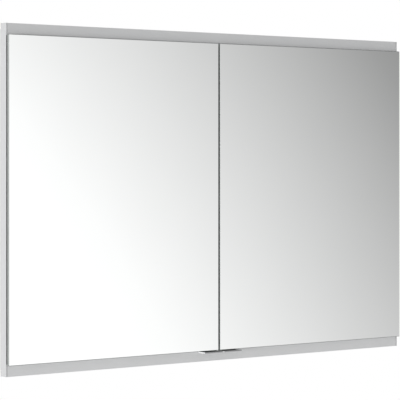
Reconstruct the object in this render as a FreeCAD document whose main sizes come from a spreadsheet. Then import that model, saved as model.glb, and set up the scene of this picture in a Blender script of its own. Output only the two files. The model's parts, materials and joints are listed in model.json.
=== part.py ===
"""Recessed two-door mirror cabinet, modelled in millimetres.

Frame of the part: X runs along the cabinet's width, +Y goes into the wall and +Z is up.
The origin is on the wall plane, at the middle of the trim frame's bottom edge.
The cabinet box lies behind the wall plane, the trim and the doors stand in front of it.
"""
import FreeCAD, Part

import math
import os

import Sketcher

DIMENSIONS = {
    # trim frame
    "trim_width": 1000.0,
    "trim_height": 650.0,
    "trim_depth": 18.2,
    "stile_wall": 4.0,
    "rail_wall": 3.0,
    "rail_face": 30.0,
    "flange_wall": 3.0,
    "rabbet": 0.5,
    "wall_lap": 10.0,
    # corner brackets
    "bracket_leg": 28.0,
    "bracket_wall": 2.0,
    "bracket_depth": 10.0,
    "bracket_gap": 1.0,
    # cabinet box
    "box_depth": 140.0,
    "panel_wall": 12.0,
    "back_wall": 3.0,
    "mirror_wall": 4.0,
    "mirror_gap": 1.0,
    # doors
    "door_gap": 3.0,
    "door_side_inset": 0.8,
    "door_split": 4.5,
    "door_top": 629.1,
    "door_bottom": 20.9,
    "outer_glass": 3.0,
    "bond_film": 0.4,
    "inner_glass": 2.6,
    "film_inset": 1.0,
    # handle plates
    "handle_width": 44.8,
    "handle_reach": 22.0,
    "handle_wall": 2.0,
    "handle_drop": 1.15,
    "handle_flange_wall": 1.6,
    "handle_flange_rise": 15.1,
    # continuous hinges
    "pivot_inset": 1.6,
    "knuckle_radius": 1.25,
    "bore_radius": 0.6,
    "pin_radius": 0.55,
    "leaf_wall": 0.8,
    "leaf_gap": 0.35,
    "door_leaf_width": 20.0,
    "frame_leaf_depth": 14.2,
    "leaf_end": 32.0,
    "hinge_end": 23.0,
    "knuckle_play": 0.2,
    # shelves
    "shelf_wall": 6.0,
    "shelf_gap": 1.5,
    "shelf_front": 8.0,
    "shelf_depth": 118.0,
    "shelf_step": 32.0,
    "shelf_low": 224.0,
    "shelf_high": 426.0,
    "support_radius": 2.5,
    "support_grip": 5.0,
    "support_reach": 9.0,
    "support_front": 30.0,
    "support_rear": 105.0,
    "support_nose": 0.8,
    "hole_play": 0.05,
    # screws
    "side_screw_pitch": 201.5,
    "end_screw_near": 150.0,
    "end_screw_far": 400.0,
    "back_screw_far": 300.0,
    "shank_radius": 1.6,
    "head_radius": 3.2,
    "head_height": 1.8,
    "head_rounding": 0.72,
    "screw_length": 14.0,
    "screw_clearance": 0.5,
    "socket_radius": 1.2,
    "socket_depth": 1.1,
    # magnetic catch, strike plates and buffers
    "catch_width": 22.0,
    "catch_height": 20.0,
    "catch_reach": 18.0,
    "magnet_reach": 20.3,
    "magnet_width": 7.0,
    "magnet_height": 14.0,
    "magnet_inset": 2.9,
    "strike_width": 20.0,
    "strike_height": 26.0,
    "strike_wall": 0.6,
    "strike_inset": 1.0,
    "buffer_radius": 4.0,
    "buffer_height": 2.9,
    "buffer_rounding": 1.2,
    "buffer_x": 75.0,
    "buffer_edge": 26.0,
    # fixing holes in the side panels
    "fixing_radius": 3.25,
    "fixing_front": 30.0,
    "fixing_rear": 110.0,
    "fixing_low": 120.0,
    "fixing_high": 530.0,
}
KNUCKLES = 19
SIDES = {"left": -1, "right": 1}
ENDS = {"bottom": -1, "top": 1}
SHELF_LEVELS = {"lower": "dims.shelf_low", "upper": "dims.shelf_high"}
HEXAGON = 6
SMALL = 0.01

# Often used places, as expressions on the sheet.
HALF = "dims.trim_width / 2"
BOX_HALF = "(dims.trim_width / 2 - dims.wall_lap)"
CLEAR_HALF = "(dims.trim_width / 2 - dims.wall_lap - dims.panel_wall)"
MIDDLE = "dims.trim_height / 2"
CLEAR_RISE = "(dims.trim_height / 2 - dims.wall_lap - dims.panel_wall)"
BOX_RISE = "(dims.trim_height / 2 - dims.wall_lap)"
PANEL_HALF = "(dims.trim_width / 2 - dims.wall_lap - dims.panel_wall / 2)"
PANEL_RISE = "(dims.trim_height / 2 - dims.wall_lap - dims.panel_wall / 2)"
PANEL_BACK = "(dims.box_depth - dims.back_wall)"
MIRROR_FRONT = "(dims.box_depth - dims.back_wall - dims.mirror_wall)"
DOOR_BACK = "(-dims.trim_depth - dims.door_gap)"
DOOR_FRONT = "(-dims.trim_depth - dims.door_gap - dims.inner_glass - dims.bond_film - dims.outer_glass)"
FILM_BACK = "(-dims.trim_depth - dims.door_gap - dims.inner_glass)"
FILM_FRONT = "(-dims.trim_depth - dims.door_gap - dims.inner_glass - dims.bond_film)"
DOOR_OUTER = "(dims.trim_width / 2 - dims.door_side_inset)"
DOOR_INNER = "dims.door_split / 2"
PIVOT_X = "(dims.trim_width / 2 - dims.pivot_inset)"
PIVOT_Y = "(-dims.trim_depth - dims.door_gap / 2)"
LEAF_EDGE = "(dims.trim_width / 2 - dims.pivot_inset - dims.knuckle_radius - dims.leaf_gap)"
SCREW_HOLE = "dims.shank_radius + dims.hole_play"
JOINT_ROWS = ("dims.support_front", "dims.support_rear")

doc = FreeCAD.newDocument("mirror_cabinet")
sheet = doc.addObject("Spreadsheet::Sheet", "dims")
for row, (alias, number) in enumerate(DIMENSIONS.items(), start=1):
    sheet.set(f"A{row}", alias)
    sheet.set(f"B{row}", str(number))
    sheet.setAlias(f"B{row}", alias)
doc.recompute()

parts = []


def value(expression):
    """Number that an expression on the sheet gives now."""
    return float(sheet.evalExpression(str(expression)))


def mirrored(sign, expression):
    """The expression on the left (-1) or right (+1) side, or below or above."""
    return f"{sign} * ({expression})"


def rise(sign, expression):
    """Height at a distance below (-1) or above (+1) the cabinet's middle."""
    return f"{MIDDLE} + {sign} * ({expression})"


def rectangle(x_from, x_to, y_from, y_to):
    return [(x_from, y_from), (x_to, y_from), (x_to, y_to), (x_from, y_to)]


def new_body(label):
    body = doc.addObject("PartDesign::Body", label)
    body.Label = label
    parts.append(body)
    return body


def new_sketch(body, name, plane, level, loops):
    """Sketch on an origin plane, moved to a level along the plane's normal.

    A loop is a list of corners (x, y), or one circle (x, y, radius), as expressions.
    """
    sketch = body.newObject("Sketcher::SketchObject", name)
    support = [item for item in body.Origin.OriginFeatures if item.Role == plane][0]
    sketch.AttachmentSupport = [(support, "")]
    sketch.MapMode = "FlatFace"
    sketch.setExpression("AttachmentOffset.Base.z", level)
    for loop in loops:
        if isinstance(loop, tuple):
            add_circle(sketch, *loop)
        else:
            add_polygon(sketch, loop)
    return sketch


def pin_point(sketch, geometry, point, x, y):
    """Hold a point of the sketch at expressions x and y from the sketch's origin."""
    for kind, expression in (("DistanceX", x), ("DistanceY", y)):
        constraint = Sketcher.Constraint(kind, -1, 1, geometry, point, value(expression))
        index = sketch.addConstraint(constraint)
        sketch.setExpression(f"Constraints[{index}]", str(expression))


def add_polygon(sketch, corners):
    first = sketch.GeometryCount
    places = [FreeCAD.Vector(value(x), value(y), 0) for x, y in corners]
    for start, end in zip(places, places[1:] + places[:1]):
        sketch.addGeometry(Part.LineSegment(start, end), False)
    for index, (x, y) in enumerate(corners):
        following = first + (index + 1) % len(corners)
        sketch.addConstraint(Sketcher.Constraint("Coincident", first + index, 2, following, 1))
        pin_point(sketch, first + index, 1, x, y)


def add_circle(sketch, x, y, radius):
    centre = FreeCAD.Vector(value(x), value(y), 0)
    circle = Part.Circle(centre, FreeCAD.Vector(0, 0, 1), value(radius))
    geometry = sketch.addGeometry(circle, False)
    pin_point(sketch, geometry, 3, x, y)
    index = sketch.addConstraint(Sketcher.Constraint("Radius", geometry, value(radius)))
    sketch.setExpression(f"Constraints[{index}]", str(radius))


def add_material(body, name, plane, start, end, loops):
    """Pad that fills the span from start to end along the world axis normal to the plane."""
    level = f"-({end})" if plane == "XZ_Plane" else f"{start}"
    pad = body.newObject("PartDesign::Pad", name)
    pad.Profile = new_sketch(body, name + "_sketch", plane, level, loops)
    pad.setExpression("Length", f"({end}) - ({start})")


def cut_material(body, name, plane, start, end, loops):
    """Pocket over the span from start to end along the world axis normal to the plane."""
    level = f"-({start})" if plane == "XZ_Plane" else f"{end}"
    pocket = body.newObject("PartDesign::Pocket", name)
    pocket.Profile = new_sketch(body, name + "_sketch", plane, level, loops)
    pocket.setExpression("Length", f"({end}) - ({start})")


def ordered(sign, near, far):
    """Span between two distances from the middle plane, low end first."""
    if sign > 0:
        return near, far
    return f"-({far})", f"-({near})"


def screw_places(along_ends):
    """Places x, z of screws into the box's edges: three up each side, some along each end."""
    places = []
    for sign in SIDES.values():
        for step in (-1, 0, 1):
            places.append((mirrored(sign, PANEL_HALF), f"{MIDDLE} + {step} * dims.side_screw_pitch"))
    for sign in ENDS.values():
        for distance in along_ends:
            places.append((distance, rise(sign, PANEL_RISE)))
    return places


TRIM_SCREWS = screw_places(("-dims.end_screw_far", "-dims.end_screw_near",
                            "dims.end_screw_near", "dims.end_screw_far"))
BACK_SCREWS = screw_places(("-dims.back_screw_far", "0", "dims.back_screw_far"))


def side_holes(screws, sign):
    """Circles of the screws that go into the left (-1) or right (+1) side."""
    return [(x, z, SCREW_HOLE) for x, z in screws if sign * value(x) > value(CLEAR_HALF)]


def end_holes(screws, sign):
    """Circles of the screws that go into the bottom (-1) or top (+1) end."""
    return [(x, z, SCREW_HOLE) for x, z in screws
            if abs(value(x)) < value(CLEAR_HALF) and sign * (value(z) - value(MIDDLE)) > 0]


def cut_edge_screw_holes(body, trim_circles, back_circles):
    """Pilot holes for the trim screws in a board's front edge and the back screws in its rear edge."""
    cut_material(body, "trim_screw_holes", "XZ_Plane", "-dims.rabbet", "dims.screw_length", trim_circles)
    cut_material(body, "back_screw_holes", "XZ_Plane", "dims.box_depth - dims.screw_length", PANEL_BACK,
                 back_circles)


def make_stile(side, sign):
    """L-shaped upright: the visible side strip and a flange rabbeted over the box's edge."""
    body = new_body(f"trim_stile_{side}")
    near, far = ordered(sign, f"{HALF} - dims.stile_wall", HALF)
    add_material(body, "strip", "XY_Plane", "0", "dims.trim_height",
                 [rectangle(near, far, "-dims.trim_depth", "0")])
    outer = mirrored(sign, f"{HALF} - dims.stile_wall")
    outline = [
        (outer, "-dims.flange_wall"),
        (mirrored(sign, CLEAR_HALF), "-dims.flange_wall"),
        (mirrored(sign, CLEAR_HALF), "-dims.rabbet"),
        (mirrored(sign, BOX_HALF), "-dims.rabbet"),
        (mirrored(sign, BOX_HALF), "0"),
        (outer, "0"),
    ]
    add_material(body, "flange", "XY_Plane", rise(-1, CLEAR_RISE), rise(1, CLEAR_RISE), [outline])
    cut_material(body, "screw_holes", "XZ_Plane", "-dims.flange_wall", "0", side_holes(TRIM_SCREWS, sign))


def make_rail(end, sign):
    """C-shaped rail between the stiles: face, web and a flange rabbeted over the box."""
    body = new_body(f"trim_rail_{end}")
    front = "-dims.trim_depth"
    outline = [
        (front, rise(sign, MIDDLE)),
        ("0", rise(sign, MIDDLE)),
        ("0", rise(sign, BOX_RISE)),
        ("-dims.rabbet", rise(sign, BOX_RISE)),
        ("-dims.rabbet", rise(sign, CLEAR_RISE)),
        ("-dims.flange_wall", rise(sign, CLEAR_RISE)),
        ("-dims.flange_wall", rise(sign, f"{MIDDLE} - dims.rail_wall")),
        (f"{front} + dims.rail_wall", rise(sign, f"{MIDDLE} - dims.rail_wall")),
        (f"{front} + dims.rail_wall", rise(sign, f"{MIDDLE} - dims.rail_face")),
        (front, rise(sign, f"{MIDDLE} - dims.rail_face")),
    ]
    span = f"({HALF} - dims.stile_wall)"
    add_material(body, "profile", "YZ_Plane", f"-{span}", span, [outline])
    cut_material(body, "screw_holes", "XZ_Plane", "-dims.flange_wall", "0", end_holes(TRIM_SCREWS, sign))


def make_corner_bracket(end, sign_z, side, sign_x):
    """Angle pressed into the corner between a rail's web and a stile."""
    body = new_body(f"corner_bracket_{end}_{side}")
    stile_face = f"({HALF} - dims.stile_wall)"
    web_face = f"({MIDDLE} - dims.rail_wall)"
    outer_x = mirrored(sign_x, stile_face)
    wall_x = mirrored(sign_x, f"{stile_face} - dims.bracket_wall")
    tip_x = mirrored(sign_x, f"{stile_face} - dims.bracket_leg")
    outer_z = rise(sign_z, web_face)
    wall_z = rise(sign_z, f"{web_face} - dims.bracket_wall")
    tip_z = rise(sign_z, f"{web_face} - dims.bracket_leg + dims.bracket_wall")
    outline = [(outer_x, outer_z), (tip_x, outer_z), (tip_x, wall_z),
               (wall_x, wall_z), (wall_x, tip_z), (outer_x, tip_z)]
    rear = "-dims.flange_wall - dims.bracket_gap"
    add_material(body, "angle", "XZ_Plane", f"{rear} - dims.bracket_depth", rear, [outline])


def support_holes():
    """Circles for the shelf supports: three holes one above the other, in two rows, at each shelf."""
    return [(row, f"{level} - dims.support_radius + {step} * dims.shelf_step",
             "dims.support_radius + dims.hole_play")
            for level in SHELF_LEVELS.values() for row in JOINT_ROWS for step in (-1, 0, 1)]


def make_side_panel(side, sign):
    body = new_body(f"side_panel_{side}")
    near, far = ordered(sign, CLEAR_HALF, BOX_HALF)
    add_material(body, "board", "YZ_Plane", near, far,
                 [rectangle("-dims.rabbet", PANEL_BACK, rise(-1, BOX_RISE), rise(1, BOX_RISE))])
    fixings = [(y, z, "dims.fixing_radius")
               for y in ("dims.fixing_front", "dims.fixing_rear")
               for z in ("dims.fixing_low", "dims.fixing_high")]
    joints = [(y, rise(end, PANEL_RISE), SCREW_HOLE) for y in JOINT_ROWS for end in ENDS.values()]
    cut_material(body, "through_holes", "YZ_Plane", near, far, fixings + joints)
    near, far = ordered(sign, CLEAR_HALF, f"{CLEAR_HALF} + dims.support_grip")
    cut_material(body, "support_holes", "YZ_Plane", near, far, support_holes())
    cut_edge_screw_holes(body, side_holes(TRIM_SCREWS, sign), side_holes(BACK_SCREWS, sign))


def make_end_panel(end, sign):
    body = new_body(f"{end}_panel")
    low, high = ordered(sign, CLEAR_RISE, BOX_RISE)
    add_material(body, "board", "XY_Plane", f"{MIDDLE} + ({low})", f"{MIDDLE} + ({high})",
                 [rectangle(f"-{CLEAR_HALF}", CLEAR_HALF, "-dims.rabbet", PANEL_BACK)])
    joints = [(y, rise(sign, PANEL_RISE), SCREW_HOLE) for y in JOINT_ROWS]
    for side, sign_x in SIDES.items():
        near, far = ordered(sign_x, f"{CLEAR_HALF} - dims.screw_length", CLEAR_HALF)
        cut_material(body, f"joint_holes_{side}", "YZ_Plane", near, far, joints)
    cut_edge_screw_holes(body, end_holes(TRIM_SCREWS, sign), end_holes(BACK_SCREWS, sign))


def make_partition():
    body = new_body("partition")
    add_material(body, "board", "YZ_Plane", "-dims.panel_wall / 2", "dims.panel_wall / 2",
                 [rectangle("0", PANEL_BACK, rise(-1, CLEAR_RISE), rise(1, CLEAR_RISE))])
    for side, sign in SIDES.items():
        near, far = ordered(sign, "dims.panel_wall / 2 - dims.support_grip", "dims.panel_wall / 2")
        cut_material(body, f"support_holes_{side}", "YZ_Plane", near, far, support_holes())


def make_back():
    body = new_body("back_sheet")
    add_material(body, "sheet", "XZ_Plane", PANEL_BACK, "dims.box_depth",
                 [rectangle(f"-{BOX_HALF}", BOX_HALF, rise(-1, BOX_RISE), rise(1, BOX_RISE))])
    cut_material(body, "screw_holes", "XZ_Plane", PANEL_BACK, "dims.box_depth",
                 [(x, z, SCREW_HOLE) for x, z in BACK_SCREWS])


def make_rear_mirror(side, sign):
    body = new_body(f"rear_mirror_{side}")
    near, far = ordered(sign, "dims.panel_wall / 2 + dims.mirror_gap", f"{CLEAR_HALF} - dims.mirror_gap")
    edge = f"{CLEAR_RISE} - dims.mirror_gap"
    add_material(body, "pane", "XZ_Plane", MIRROR_FRONT, PANEL_BACK,
                 [rectangle(near, far, rise(-1, edge), rise(1, edge))])


def make_shelf(side, sign, name, level):
    body = new_body(f"shelf_{side}_{name}")
    near, far = ordered(sign, "dims.panel_wall / 2 + dims.shelf_gap", f"{CLEAR_HALF} - dims.shelf_gap")
    add_material(body, "pane", "XY_Plane", level, f"{level} + dims.shelf_wall",
                 [rectangle(near, far, "dims.shelf_front", "dims.shelf_front + dims.shelf_depth")])


def make_door(side, sign):
    """Frameless double-mirrored door: two panes bonded back to back by a film."""
    layers = {
        "outer_glass": (DOOR_FRONT, FILM_FRONT, "0"),
        "bond_film": (FILM_FRONT, FILM_BACK, "dims.film_inset"),
        "inner_glass": (FILM_BACK, DOOR_BACK, "0"),
    }
    for name, (front, back, inset) in layers.items():
        body = new_body(f"door_{side}_{name}")
        near, far = ordered(sign, f"{DOOR_INNER} + {inset}", f"{DOOR_OUTER} - {inset}")
        low, high = f"dims.door_bottom + {inset}", f"dims.door_top - {inset}"
        add_material(body, "pane", "XZ_Plane", front, back, [rectangle(near, far, low, high)])


def make_handle(side, sign):
    """Angle bonded to the back of the door, with a lip that reaches forward under it."""
    body = new_body(f"handle_{side}")
    near, far = ordered(sign, DOOR_INNER, f"{DOOR_INNER} + dims.handle_width")
    top = "dims.door_bottom - dims.handle_drop"
    rear = f"{DOOR_BACK} + dims.handle_flange_wall"
    outline = [
        ("-dims.trim_depth - dims.handle_reach", top),
        (DOOR_BACK, top),
        (DOOR_BACK, "dims.door_bottom + dims.handle_flange_rise"),
        (rear, "dims.door_bottom + dims.handle_flange_rise"),
        (rear, f"{top} - dims.handle_wall"),
        ("-dims.trim_depth - dims.handle_reach", f"{top} - dims.handle_wall"),
    ]
    add_material(body, "angle", "YZ_Plane", near, far, [outline])


def knuckle_spans(parity):
    """Spans of height of the knuckles that belong to one leaf."""
    low = value("dims.hinge_end")
    pitch = (value("dims.trim_height") - 2 * low) / KNUCKLES
    play = value("dims.knuckle_play") / 2
    return [(low + index * pitch + play, low + (index + 1) * pitch - play)
            for index in range(KNUCKLES) if index % 2 == parity]


def make_leaf(label, sign, flat, strip_front, strip_back, parity):
    """Hinge leaf: a flat profile between the rails and knuckles round the pin."""
    body = new_body(label)
    add_material(body, "leaf", "XY_Plane", "dims.leaf_end", "dims.trim_height - dims.leaf_end", [flat])
    near, far = ordered(sign, LEAF_EDGE, PIVOT_X)
    centre_x = mirrored(sign, PIVOT_X)
    for number, (bottom, top) in enumerate(knuckle_spans(parity), start=1):
        add_material(body, f"tab_{number}", "XY_Plane", str(bottom), str(top),
                     [rectangle(near, far, strip_front, strip_back)])
        add_material(body, f"knuckle_{number}", "XY_Plane", str(bottom), str(top),
                     [(centre_x, PIVOT_Y, "dims.knuckle_radius")])
    cut_material(body, "pin_bore", "XY_Plane", "dims.hinge_end", "dims.trim_height - dims.hinge_end",
                 [(centre_x, PIVOT_Y, "dims.bore_radius")])


def make_hinge(side, sign):
    """Continuous hinge in the gap between the stile and the door."""
    edge = mirrored(sign, LEAF_EDGE)
    stile_face = mirrored(sign, f"{HALF} - dims.stile_wall")
    leaf_face = mirrored(sign, f"{HALF} - dims.stile_wall - dims.leaf_wall")
    front = "-dims.trim_depth - dims.leaf_wall"
    rear = "-dims.trim_depth + dims.frame_leaf_depth"
    frame_profile = [(edge, front), (leaf_face, front), (leaf_face, rear),
                     (stile_face, rear), (stile_face, "-dims.trim_depth"), (edge, "-dims.trim_depth")]
    make_leaf(f"hinge_leaf_frame_{side}", sign, frame_profile, front, "-dims.trim_depth", 0)
    near, far = ordered(sign, f"{LEAF_EDGE} - dims.door_leaf_width", LEAF_EDGE)
    leaf_back = f"{DOOR_BACK} + dims.leaf_wall"
    make_leaf(f"hinge_leaf_door_{side}", sign, rectangle(near, far, DOOR_BACK, leaf_back),
              DOOR_BACK, leaf_back, 1)
    body = new_body(f"hinge_pin_{side}")
    add_material(body, "rod", "XY_Plane", "dims.hinge_end", "dims.trim_height - dims.hinge_end",
                 [(mirrored(sign, PIVOT_X), PIVOT_Y, "dims.pin_radius")])


def make_catch():
    """Magnetic catch on the partition's front edge and the steel strikes on the doors."""
    body = new_body("catch_housing")
    half = "dims.catch_height / 2"
    add_material(body, "block", "XZ_Plane", "-dims.catch_reach", "0",
                 [rectangle("-dims.catch_width / 2", "dims.catch_width / 2", rise(-1, half), rise(1, half))])
    for side, sign in SIDES.items():
        body = new_body(f"catch_magnet_{side}")
        near, far = ordered(sign, "dims.magnet_inset", "dims.magnet_inset + dims.magnet_width")
        half = "dims.magnet_height / 2"
        add_material(body, "magnet", "XZ_Plane", "-dims.magnet_reach", "-dims.catch_reach",
                     [rectangle(near, far, rise(-1, half), rise(1, half))])
        body = new_body(f"strike_plate_{side}")
        inner = f"{DOOR_INNER} + dims.strike_inset"
        near, far = ordered(sign, inner, f"{inner} + dims.strike_width")
        half = "dims.strike_height / 2"
        add_material(body, "plate", "XZ_Plane", DOOR_BACK, f"{DOOR_BACK} + dims.strike_wall",
                     [rectangle(near, far, rise(-1, half), rise(1, half))])


def rounded_pin(radius, length, rounding):
    """Round pin up +Z from the origin with its far rim rounded over."""
    pin = Part.makeCylinder(value(radius), value(length))
    rim = [edge for edge in pin.Edges if edge.BoundBox.ZMin > value(length) - SMALL]
    return pin.makeFillet(value(rounding), rim)


def screw_template():
    """Pan-head screw with a hexagon socket: head on +Z, shank down from the origin."""
    shank = Part.makeCylinder(value("dims.shank_radius"), value("dims.screw_length - dims.screw_clearance"),
                              FreeCAD.Vector(0, 0, 0), FreeCAD.Vector(0, 0, -1))
    head = rounded_pin("dims.head_radius", "dims.head_height", "dims.head_rounding")
    radius = value("dims.socket_radius")
    floor = value("dims.head_height - dims.socket_depth")
    corners = []
    for corner in range(HEXAGON + 1):
        angle = 2 * math.pi * corner / HEXAGON
        corners.append(FreeCAD.Vector(radius * math.cos(angle), radius * math.sin(angle), floor))
    socket = Part.Face(Part.makePolygon(corners)).extrude(FreeCAD.Vector(0, 0, value("dims.socket_depth")))
    return head.fuse(shank).cut(socket).removeSplitter()


def make_group(label, template, places):
    """Identical pieces as one sub-part; a place is a position x, y, z and the way +Z points."""
    copies = []
    for position, direction in places:
        piece = template.copy()
        turn = FreeCAD.Rotation(FreeCAD.Vector(0, 0, 1), FreeCAD.Vector(*direction))
        place = FreeCAD.Vector(*[value(expression) for expression in position])
        piece.Placement = FreeCAD.Placement(place, turn)
        copies.append(piece)
    feature = doc.addObject("Part::Feature", label)
    feature.Label = label
    feature.Shape = Part.makeCompound(copies)
    parts.append(feature)


def make_fasteners():
    screw = screw_template()
    make_group("trim_screws", screw, [((x, "-dims.flange_wall", z), (0, -1, 0)) for x, z in TRIM_SCREWS])
    make_group("back_screws", screw, [((x, "dims.box_depth", z), (0, 1, 0)) for x, z in BACK_SCREWS])
    joints = [((mirrored(sign_x, BOX_HALF), y, rise(sign_z, PANEL_RISE)), (sign_x, 0, 0))
              for sign_x in SIDES.values() for sign_z in ENDS.values() for y in JOINT_ROWS]
    make_group("case_screws", screw, joints)


def make_shelf_supports(side, sign):
    """Pins in the side panel and the partition that carry the glass shelves."""
    pin = rounded_pin("dims.support_radius", "dims.support_reach", "dims.support_nose")
    outer = mirrored(sign, f"{CLEAR_HALF} + dims.support_grip")
    inner = mirrored(sign, "dims.panel_wall / 2 - dims.support_grip")
    places = []
    for level in SHELF_LEVELS.values():
        for row in JOINT_ROWS:
            height = f"{level} - dims.support_radius"
            places.append(((outer, row, height), (-sign, 0, 0)))
            places.append(((inner, row, height), (sign, 0, 0)))
    make_group(f"shelf_supports_{side}", pin, places)


def make_buffers():
    """Soft buttons on the rails that the closed doors rest on."""
    bump = rounded_pin("dims.buffer_radius", "dims.buffer_height", "dims.buffer_rounding")
    places = [((mirrored(sign_x, "dims.buffer_x"), "-dims.trim_depth",
                rise(sign_z, f"{MIDDLE} - dims.buffer_edge")), (0, -1, 0))
              for sign_x in SIDES.values() for sign_z in ENDS.values()]
    make_group("door_buffers", bump, places)


for end_name, end_sign in ENDS.items():
    make_rail(end_name, end_sign)
    make_end_panel(end_name, end_sign)
for side_name, side_sign in SIDES.items():
    make_stile(side_name, side_sign)
    make_side_panel(side_name, side_sign)
    make_rear_mirror(side_name, side_sign)
    make_door(side_name, side_sign)
    make_handle(side_name, side_sign)
    make_hinge(side_name, side_sign)
    make_shelf_supports(side_name, side_sign)
    for shelf_name, shelf_level in SHELF_LEVELS.items():
        make_shelf(side_name, side_sign, shelf_name, shelf_level)
    for end_name, end_sign in ENDS.items():
        make_corner_bracket(end_name, end_sign, side_name, side_sign)
make_partition()
make_back()
make_catch()
make_fasteners()
make_buffers()
doc.recompute()

for item in doc.Objects:
    if "Invalid" in item.State or "Error" in item.State:
        raise RuntimeError(f"{item.Label}: {item.State}")
    if item.TypeId == "PartDesign::Pocket":
        if item.Shape.Volume >= item.BaseFeature.Shape.Volume - SMALL:
            raise RuntimeError(f"{item.Label} cuts nothing")
for item in parts:
    if item.Shape.isNull() or not item.Shape.isValid():
        raise RuntimeError(f"{item.Label} has no valid shape")

os.makedirs("parts", exist_ok=True)
for item in parts:
    item.Shape.exportStep(os.path.join("parts", item.Label + ".step"))
print(len(parts), "parts written")
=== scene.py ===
"""Looks of the recessed two-door mirror cabinet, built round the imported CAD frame."""

import json
import math

import bpy
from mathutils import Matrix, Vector


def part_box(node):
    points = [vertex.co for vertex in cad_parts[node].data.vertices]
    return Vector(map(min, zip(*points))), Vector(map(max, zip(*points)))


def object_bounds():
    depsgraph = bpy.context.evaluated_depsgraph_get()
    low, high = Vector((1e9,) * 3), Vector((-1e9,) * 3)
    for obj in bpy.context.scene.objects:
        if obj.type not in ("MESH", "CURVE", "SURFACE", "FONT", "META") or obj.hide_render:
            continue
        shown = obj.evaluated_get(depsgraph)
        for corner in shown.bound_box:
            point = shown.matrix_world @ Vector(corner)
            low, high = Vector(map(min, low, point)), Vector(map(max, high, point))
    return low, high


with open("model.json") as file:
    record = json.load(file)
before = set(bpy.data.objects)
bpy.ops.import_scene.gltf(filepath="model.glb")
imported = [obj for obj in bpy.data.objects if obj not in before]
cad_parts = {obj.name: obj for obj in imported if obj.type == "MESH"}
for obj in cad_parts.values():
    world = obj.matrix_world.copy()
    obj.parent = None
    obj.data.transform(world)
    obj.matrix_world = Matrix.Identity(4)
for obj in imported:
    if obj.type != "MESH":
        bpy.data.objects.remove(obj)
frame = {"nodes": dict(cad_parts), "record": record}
cad_low, cad_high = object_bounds()
nodes = frame["nodes"]

# ---------------------------------------------------------------- camera
# The view is from the left front, level with a point a little above the cabinet's middle.
VIEW_TURN = math.radians(39.05)
LENS_MM = 185.3
SENSOR_MM = 36.0
SHIFT_Y = -0.1068
VIEW_LIMIT = 60.0
CAMERA_PLACE = Vector((-2.6018, -3.1736, 0.4033))

# ---------------------------------------------------------------- light
BRIGHT_SIDE = Vector((0.081, -0.934, -0.347))
BACKGROUND = 1.0  # white backdrop that only the camera sees
WORLD_RAMP = [  # brightness of the studio against the cosine to its bright side
    (-1.0, 0.55),
    (0.30, 0.50),
    (0.68, 0.27),
    (0.707, 0.34),
    (0.814, 1.06),
    (0.84, 1.12),
    (0.90, 1.08),
    (1.0, 0.80),
]
FILL = 0.32  # even light that matt surfaces get from all round
FLOOR_DROP = 1.0
FLOOR_RADIUS = 7.0
FLOOR_CORNERS = 96
SIDE_PLACE = (-8.5, -2.4, 0.15)
SIDE_SIZE = (1.6, 0.8)
RAIL_SIZE = (1.8, 0.4)


def grey(level):
    """Neutral colour of one brightness."""
    return (level, level, level, 1.0)


class Graph:
    """Short way to wire one material's nodes."""

    def __init__(self, tree):
        self.tree = tree
        tree.nodes.clear()

    def add(self, kind, inputs=None, **settings):
        node = self.tree.nodes.new(kind)
        for name, setting in settings.items():
            setattr(node, name, setting)
        for name, source in (inputs or {}).items():
            self.feed(node.inputs[name], source)
        return node

    def feed(self, socket, source):
        if isinstance(source, bpy.types.NodeSocket):
            self.tree.links.new(source, socket)
        else:
            socket.default_value = source

    def math(self, operation, *terms):
        node = self.add("ShaderNodeMath", operation=operation)
        for socket, term in zip(node.inputs, terms):
            self.feed(socket, term)
        return node.outputs[0]

    def spread(self, source, low, high, source_low=0.0, source_high=1.0):
        """Value rescaled from one range to another."""
        node = self.add("ShaderNodeMapRange")
        self.feed(node.inputs["Value"], source)
        for name, number in zip(("From Min", "From Max", "To Min", "To Max"),
                                (source_low, source_high, low, high)):
            node.inputs[name].default_value = number
        return node.outputs["Result"]

    def shade(self, factor, dark, light):
        """Colour between two fixed shades."""
        return self.mix(factor, (*dark, 1.0), (*light, 1.0))

    def mix(self, factor, first, second):
        """Blend of two colours, each of them fixed or worked out."""
        node = self.add("ShaderNodeMix", data_type="RGBA")
        self.feed(node.inputs["Factor"], factor)
        self.feed(node.inputs["A"], first)
        self.feed(node.inputs["B"], second)
        return node.outputs["Result"]

    def place(self):
        """Position in the object's own space."""
        return self.add("ShaderNodeTexCoord").outputs["Object"]

    def noise(self, scale, stretch=(1.0, 1.0, 1.0), detail=3.0, roughness=0.55):
        """Noise in the object's own space, drawn out along an axis with a small stretch."""
        mapping = self.add("ShaderNodeMapping", {"Vector": self.place(), "Scale": stretch})
        texture = self.add("ShaderNodeTexNoise", {"Vector": mapping.outputs[0], "Scale": scale,
                                                  "Detail": detail, "Roughness": roughness})
        return texture.outputs["Fac"]

    def facing(self, axis):
        """How squarely the surface faces either way along one axis of the object, 0 to 1."""
        normal = self.add("ShaderNodeTexCoord").outputs["Normal"]
        parts = self.add("ShaderNodeSeparateXYZ", {"Vector": normal})
        return self.math("ABSOLUTE", parts.outputs[axis])

    def bump(self, height, strength, distance):
        node = self.add("ShaderNodeBump", {"Height": height, "Strength": strength,
                                           "Distance": distance})
        return node.outputs["Normal"]

    def surface(self, **inputs):
        """Principled surface; the words are its sockets with _ for spaces."""
        named = {name.replace("_", " "): source for name, source in inputs.items()}
        shader = self.add("ShaderNodeBsdfPrincipled", named)
        output = self.add("ShaderNodeOutputMaterial")
        self.tree.links.new(shader.outputs[0], output.inputs["Surface"])


def new_material(name):
    material = bpy.data.materials.new(name)
    material.use_nodes = True
    return material, Graph(material.node_tree)


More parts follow.
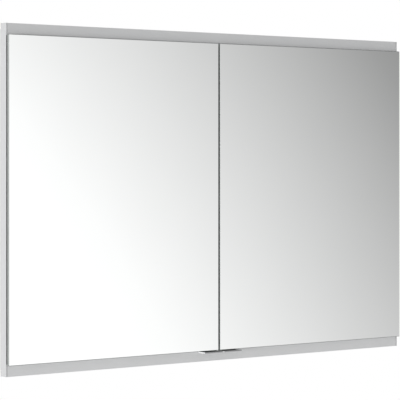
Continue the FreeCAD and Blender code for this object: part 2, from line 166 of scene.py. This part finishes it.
HANDLE_PLATE = 0.002  # height of the lip's flat plate
PAINTED_SHADE_WIDTH = 0.0007  # painted shade: a dark line along the doors' top and bottom edges
MASK_BLUR = 0.0002
WELD_REACH = 0.000002
SHARP_EDGE = math.radians(40)
GRAIN = {"x": (1.0, 160.0, 160.0), "y": (160.0, 1.0, 160.0), "z": (160.0, 160.0, 1.0)}


def metal(name, colour, roughness, grain="x", grain_depth=0.12, metallic=1.0):
    """Metal with a fine grain along one axis, faint cloudiness and handling marks."""
    material, graph = new_material(name)
    lines = graph.noise(5.0, GRAIN[grain], detail=2.0)
    clouds = graph.noise(9.0, detail=4.0)
    marks = graph.noise(60.0, detail=6.0, roughness=0.7)
    mixed = graph.math("MULTIPLY_ADD", lines, 0.6, 0.2)
    tone = graph.math("MULTIPLY", mixed, graph.spread(clouds, 0.85, 1.1))
    dark = tuple(part * (1.0 - grain_depth) for part in colour)
    light = tuple(min(1.0, part * (1.0 + grain_depth * 0.6)) for part in colour)
    rough = graph.math("ADD", graph.spread(lines, roughness * 0.88, roughness * 1.1, 0.3, 0.7),
                       graph.spread(marks, -0.015, 0.02, 0.35, 0.7))
    graph.surface(Base_Color=graph.shade(tone, dark, light), Metallic=metallic, Roughness=rough,
                  Normal=graph.bump(lines, 0.06, 0.0002))
    return material


def lacquer(name, colour, roughness, peel=0.12):
    """Sprayed lacquer or moulded plastic: soft gloss, fine peel and a trace of cloudiness."""
    material, graph = new_material(name)
    clouds = graph.noise(4.0, detail=3.0)
    grit = graph.noise(420.0, detail=2.0)
    dark = tuple(part * 0.965 for part in colour)
    graph.surface(Base_Color=graph.shade(clouds, dark, colour), Metallic=0.0,
                  Roughness=graph.spread(grit, roughness * 0.85, roughness * 1.15),
                  Normal=graph.bump(grit, peel, 0.0003))
    return material


def pane_edge(graph):
    """1 on the edges and ground arrises of an upright pane, 0 on its two faces."""
    return graph.spread(graph.facing("Y"), 1.0, 0.0, 0.80, 0.97)


def door_edge_painted_shade(graph):
    """1 in the painted shade, a dark band along the doors' top and bottom edges."""
    low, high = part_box("door_left_outer_glass")
    height = graph.add("ShaderNodeSeparateXYZ", {"Vector": graph.place()}).outputs["Z"]
    offset = graph.math("ABSOLUTE", graph.math("SUBTRACT", height, (low.z + high.z) / 2))
    start = (high.z - low.z) / 2 - PAINTED_SHADE_WIDTH
    return graph.spread(offset, 0.0, 1.0, start - MASK_BLUR, start)


def mirror():
    """Silvered glass: clear faces, ground grey-green edges, and painted shade on the top and bottom
    arrises and in a dark band along the top and bottom edges.
    """
    material, graph = new_material("silvered_glass")
    painted_edge_shade = door_edge_painted_shade(graph)
    edge = graph.math("MAXIMUM", pane_edge(graph), painted_edge_shade)
    film = graph.noise(7.0, detail=3.0)
    grinding = graph.noise(120.0, (1.0, 1.0, 0.02), detail=2.0)
    face = graph.shade(film, (0.925, 0.935, 0.93), (0.945, 0.952, 0.948))
    ground = graph.shade(grinding, (0.33, 0.35, 0.34), (0.43, 0.45, 0.44))
    # Painted shade: only the top and bottom arrises are coloured dark; the side arrises keep the
    # ground edge colour.
    shaded_arris = graph.math("MULTIPLY", graph.spread(graph.facing("Y"), 0.0, 1.0, 0.10, 0.35),
                       graph.spread(graph.facing("Z"), 0.0, 1.0, 0.05, 0.20))
    # The rim colour is the ground edge grey, with painted shade in the dark arrises and the edge
    # band.
    rim_with_painted_shade = graph.mix(graph.math("MAXIMUM", shaded_arris, painted_edge_shade), ground, (0.16, 0.17, 0.167, 1.0))
    rough = graph.math("ADD", graph.spread(film, 0.0, 0.012, 0.4, 0.75),
                       graph.math("MULTIPLY", edge, graph.spread(grinding, 0.40, 0.55)))
    graph.surface(Base_Color=graph.mix(edge, face, rim_with_painted_shade), Roughness=rough,
                  Metallic=graph.spread(edge, 1.0, 0.15))
    return material


def clear_glass():
    """Shelf glass: clear faces, greener towards the polished edges."""
    material, graph = new_material("shelf_glass_clear")
    edge = graph.spread(graph.facing("Z"), 1.0, 0.0, 0.35, 0.75)
    smear = graph.noise(14.0, detail=5.0, roughness=0.6)
    colour = graph.shade(edge, (0.955, 0.985, 0.975), (0.50, 0.78, 0.70))
    graph.surface(Base_Color=colour, Roughness=graph.spread(smear, 0.0, 0.035, 0.45, 0.8),
                  Transmission_Weight=1.0, IOR=1.5)
    return material


def handle_painted_light():
    """Anodised lip with a paler front edge, a painted highlight on its near-white ends and painted
    shade on its dark top and other faces.
    """
    material, graph = new_material("handle_painted_highlight_and_shade")
    plate_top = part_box("handle_left")[0].z + HANDLE_PLATE
    height = graph.add("ShaderNodeSeparateXYZ", {"Vector": graph.place()}).outputs["Z"]
    in_plate = graph.spread(height, 1.0, 0.0, plate_top - MASK_BLUR, plate_top)
    ends = graph.spread(graph.facing("X"), 0.0, 1.0, 0.55, 0.75)
    front = graph.math("MULTIPLY", graph.spread(graph.facing("Y"), 0.0, 1.0, 0.55, 0.75), in_plate)
    lines = graph.noise(6.0, GRAIN["x"], detail=2.0)
    # Painted shade: the dark tone on the lip's top and other faces. Painted highlight: the
    # near-white, barely metallic tone on its ends.
    painted_top_shade = graph.shade(lines, (0.22, 0.222, 0.225), (0.28, 0.282, 0.286))
    lip = graph.shade(lines, (0.38, 0.385, 0.39), (0.44, 0.445, 0.45))
    painted_end_highlight = graph.shade(lines, (0.90, 0.905, 0.91), (0.94, 0.942, 0.945))
    colour = graph.mix(ends, graph.mix(front, painted_top_shade, lip), painted_end_highlight)
    rough = graph.math("ADD", graph.spread(ends, 0.26, 0.40), graph.spread(lines, -0.03, 0.03))
    graph.surface(Base_Color=colour, Metallic=graph.spread(ends, 1.0, 0.1), Roughness=rough,
                  Normal=graph.bump(lines, 0.05, 0.0002))
    return material


def elastomer():
    """Soft clear buffer: milky, slightly tacky surface."""
    material, graph = new_material("buffer_elastomer")
    mottle = graph.noise(500.0, detail=3.0)
    graph.surface(Base_Color=graph.shade(mottle, (0.70, 0.73, 0.73), (0.82, 0.85, 0.85)),
                  Roughness=graph.spread(mottle, 0.28, 0.45), Transmission_Weight=0.35, IOR=1.45,
                  Normal=graph.bump(mottle, 0.1, 0.0002))
    return material


def pale_floor():
    material, graph = new_material("pale_floor")
    mottle = graph.noise(3.0, detail=4.0)
    graph.surface(Base_Color=graph.mix(mottle, grey(0.86), grey(0.88)), Roughness=0.6)
    return material


ANODISED = (0.66, 0.665, 0.67)
STEEL = (0.06, 0.062, 0.065)
BRIGHT = (0.80, 0.81, 0.82)
SLOT_MATERIALS = {
    "anodised_trim": metal("anodised_along_x", ANODISED, 0.42, "x", 0.03, metallic=0.2),
    "box_panel": lacquer("light_grey_lacquer", (0.80, 0.805, 0.81), 0.32),
    "back_metal": metal("mill_finish_sheet", (0.60, 0.61, 0.62), 0.38, "z", 0.10),
    "mirror_glass": mirror(),
    "bond_film": lacquer("bonding_film", (0.045, 0.047, 0.05), 0.5),
    "shelf_glass": clear_glass(),
    "polished_handle": handle_painted_light(),
    "hinge_steel": metal("satin_stainless", STEEL, 0.30, "z", 0.12),
    "hinge_pin_steel": metal("ground_pin", (0.60, 0.61, 0.62), 0.22, "z", 0.08),
    "bracket_steel": metal("zinc_plate", (0.62, 0.63, 0.65), 0.34, "x", 0.15),
    "magnet_steel": metal("nickel_plate", (0.66, 0.65, 0.62), 0.24, "z", 0.08),
    "support_metal": metal("plated_support", BRIGHT, 0.16, "x", 0.05),
    "catch_plastic": lacquer("catch_plastic", (0.78, 0.78, 0.77), 0.42, 0.25),
    "screw_steel": metal("screw_stainless", (0.64, 0.65, 0.66), 0.28, "y", 0.12),
    "buffer_rubber": elastomer(),
}
# Painted shade: the stiles use a darker copy of the rails' anodised trim, so they read darker than
# the rails.
SHADED_UPRIGHT_TRIM = metal("anodised_along_z_painted_shade", (0.58, 0.585, 0.59), 0.42, "z", 0.03, metallic=0.2)


def dress(obj, material):
    obj.data.materials.clear()
    obj.data.materials.append(material)


def round_edges(obj, width, segments=2):
    """Small radius on the sharp edges, with the flat faces kept flat."""
    weld = obj.modifiers.new("join_faces", "WELD")
    weld.merge_threshold = WELD_REACH
    bevel = obj.modifiers.new("edge_radius", "BEVEL")
    bevel.width = width
    bevel.segments = segments
    bevel.limit_method = "ANGLE"
    bevel.angle_limit = SHARP_EDGE
    bevel.harden_normals = True


EDGE_RADIUS = {
    "anodised_trim": 0.0004,
    "box_panel": 0.0005,
    "mirror_glass": 0.0005,
    "shelf_glass": 0.0008,
    "polished_handle": 0.0004,
    "bracket_steel": 0.0003,
    "catch_plastic": 0.0008,
    "magnet_steel": 0.0002,
}
for part in frame["record"]["subparts"]:
    node, slot = part["node"], part["material_slot"]
    obj = nodes[node]
    # The stiles take the darker trim copy, which is painted shade.
    dress(obj, SHADED_UPRIGHT_TRIM if node.startswith("trim_stile") else SLOT_MATERIALS[slot])
    if slot in EDGE_RADIUS:
        round_edges(obj, EDGE_RADIUS[slot])


def make_floor():
    middle = (cad_low + cad_high) / 2
    bpy.ops.mesh.primitive_circle_add(vertices=FLOOR_CORNERS, radius=FLOOR_RADIUS, fill_type="NGON",
                                      location=(middle.x, middle.y, cad_low.z - FLOOR_DROP))
    floor = bpy.context.object
    floor.name = "pale_floor"
    dress(floor, pale_floor())


def make_world():
    """Studio for the mirrors, even fill for matt surfaces, white backdrop for the camera."""
    world = bpy.data.worlds.new("studio")
    bpy.context.scene.world = world
    world.use_nodes = True
    graph = Graph(world.node_tree)
    direction = graph.add("ShaderNodeTexCoord").outputs["Generated"]
    dot = graph.add("ShaderNodeVectorMath", {0: direction, 1: BRIGHT_SIDE.normalized()},
                    operation="DOT_PRODUCT")
    place = graph.spread(dot.outputs["Value"], 0.0, 1.0, -1.0, 1.0)
    ramp = graph.add("ShaderNodeValToRGB", {"Fac": place})
    ramp.color_ramp.interpolation = "LINEAR"
    elements = ramp.color_ramp.elements
    while len(elements) < len(WORLD_RAMP):
        elements.new(0.5)
    for element, (cosine, brightness) in zip(elements, WORLD_RAMP):
        element.position = (cosine + 1.0) / 2
        element.color = grey(brightness)
    studio = graph.add("ShaderNodeBackground", {"Color": ramp.outputs["Color"], "Strength": 1.0})
    rays = graph.add("ShaderNodeLightPath")
    fill = graph.add("ShaderNodeBackground", {"Color": grey(FILL), "Strength": 1.0})
    backdrop = graph.add("ShaderNodeBackground", {"Color": grey(BACKGROUND), "Strength": 1.0})
    lit = graph.add("ShaderNodeMixShader", {0: rays.outputs["Is Diffuse Ray"],
                                            1: studio.outputs[0], 2: fill.outputs[0]})
    mix = graph.add("ShaderNodeMixShader", {0: rays.outputs["Is Camera Ray"],
                                            1: lit.outputs[0], 2: backdrop.outputs[0]})
    output = graph.add("ShaderNodeOutputWorld")
    graph.tree.links.new(mix.outputs[0], output.inputs["Surface"])


def node_collection(name, members):
    collection = bpy.data.collections.new(name)
    for node in members:
        collection.objects.link(nodes[node])
    return collection


def make_softbox(name, place, size, power, lights=(), blockers=()):
    """Soft lamp that isn't seen in the mirrors.

    Empty lights means that it lights every node, and empty blockers that every node shades it.
    """
    aim = (cad_low + cad_high) / 2
    lamp = bpy.data.lights.new(name, "AREA")
    lamp.shape = "RECTANGLE"
    lamp.size, lamp.size_y = size
    lamp.energy = power
    obj = bpy.data.objects.new(name, lamp)
    bpy.context.scene.collection.objects.link(obj)
    obj.location = place
    obj.rotation_euler = (aim - Vector(place)).to_track_quat("-Z", "Y").to_euler()
    obj.visible_glossy = False
    obj.visible_camera = False
    if lights:
        obj.light_linking.receiver_collection = node_collection(name + "_lights", lights)
    if blockers:
        obj.light_linking.blocker_collection = node_collection(name + "_blockers", blockers)


def make_camera():
    data = bpy.data.cameras.new("camera")
    data.lens = LENS_MM
    data.sensor_width = SENSOR_MM
    data.shift_y = SHIFT_Y
    data.clip_end = VIEW_LIMIT
    camera = bpy.data.objects.new("camera", data)
    bpy.context.scene.collection.objects.link(camera)
    camera.location = CAMERA_PLACE
    camera.rotation_euler = (math.radians(90), 0.0, -VIEW_TURN)
    bpy.context.scene.camera = camera


EDGE_LIT = [node for node in nodes if node.startswith(("trim_stile", "handle", "door"))]
make_floor()
make_world()
make_softbox("front_softbox", place=(-0.6, -9.0, 0.25), size=(1.6, 1.2), power=80.0)
make_softbox("side_softbox", SIDE_PLACE, SIDE_SIZE, power=400.0)
make_softbox("edge_softbox", SIDE_PLACE, SIDE_SIZE, power=310.0, lights=EDGE_LIT)
make_softbox("bottom_rail_softbox", (0.1, -3.0, 1.15), RAIL_SIZE, power=27.5,
             lights=["trim_rail_bottom"], blockers=["trim_rail_bottom"])
make_softbox("top_rail_softbox", (0.9, -3.0, -0.45), RAIL_SIZE, power=17.0,
             lights=["trim_rail_top"], blockers=["trim_rail_top"])
make_softbox("rear_softbox", place=(3.6, 3.4, 5.0), size=(3.0, 3.0), power=300.0)
make_camera()
bpy.context.scene.view_settings.view_transform = "Standard"
